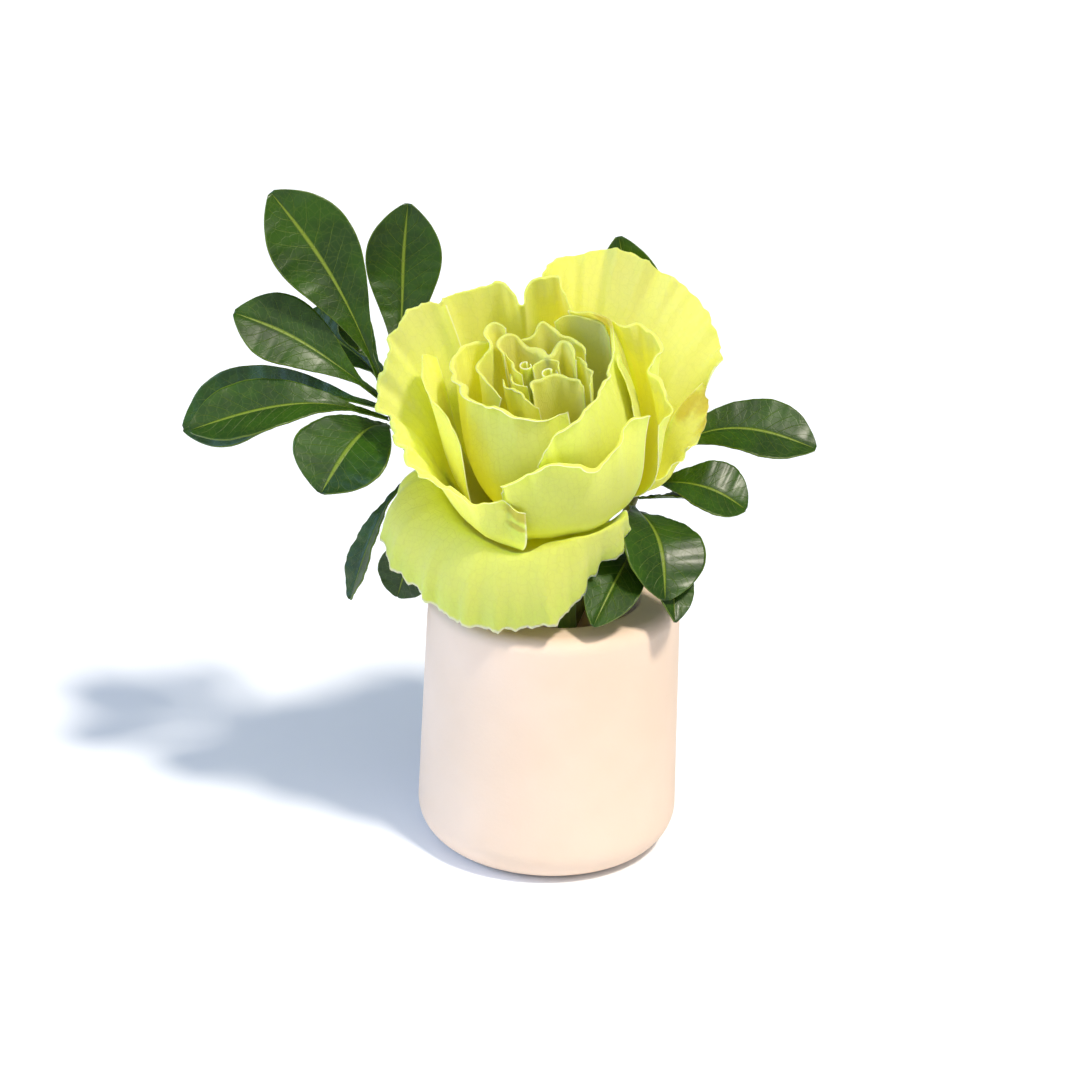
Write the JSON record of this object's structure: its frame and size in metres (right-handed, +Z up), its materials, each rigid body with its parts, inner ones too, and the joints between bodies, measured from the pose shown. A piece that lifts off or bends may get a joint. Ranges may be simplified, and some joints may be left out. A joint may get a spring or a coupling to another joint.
{
  "type": "rose in a bud vase",
  "caption": "Cut garden rose with open yellow-green petals and two sprigs of glossy dark leaves, standing in a squat matte white ceramic vase that rests on its flat foot.",
  "frame": {"origin": "middle of the vase's flat foot, on the surface it stands on", "axes": "+Z up along the vase's axis; the bloom faces and leans towards -Y; +X is to the right seen from the front"},
  "size_m": [0.1859, 0.0865, 0.1888],
  "materials": {
    "porcelain": "matte",
    "petal": "soft satin",
    "sepal": "matte",
    "rose_stem": "smooth",
    "sprig_stem": "smooth",
    "leaf": "glossy"
  },
  "bodies": {
    "root": {"left_leaf_01": "leaf", "left_leaf_02": "leaf", "left_leaf_03": "leaf", "left_leaf_04": "leaf", "left_leaf_05": "leaf", "left_leaf_06": "leaf", "left_leaf_07": "leaf", "left_leaf_08": "leaf", "left_leaf_09": "leaf", "left_leaf_10": "leaf", "left_leaf_11": "leaf", "left_sprig_stem": "sprig_stem", "petal_01": "petal", "petal_02": "petal", "petal_03": "petal", "petal_04": "petal", "petal_05": "petal", "petal_06": "petal", "petal_07": "petal", "petal_08": "petal", "petal_09": "petal", "petal_10": "petal", "petal_11": "petal", "petal_12": "petal", "petal_13": "petal", "petal_14": "petal", "petal_15": "petal", "petal_16": "petal", "petal_17": "petal", "petal_18": "petal", "petal_19": "petal", "petal_20": "petal", "petal_21": "petal", "petal_22": "petal", "petal_23": "petal", "petal_24": "petal", "right_leaf_01": "leaf", "right_leaf_02": "leaf", "right_leaf_03": "leaf", "right_leaf_04": "leaf", "right_leaf_05": "leaf", "right_leaf_06": "leaf", "right_leaf_07": "leaf", "right_sprig_stem": "sprig_stem", "rose_stem": "rose_stem", "sepal_1": "sepal", "sepal_2": "sepal", "sepal_3": "sepal", "sepal_4": "sepal", "sepal_5": "sepal", "vase": "porcelain"}
  },
  "joints": []
}
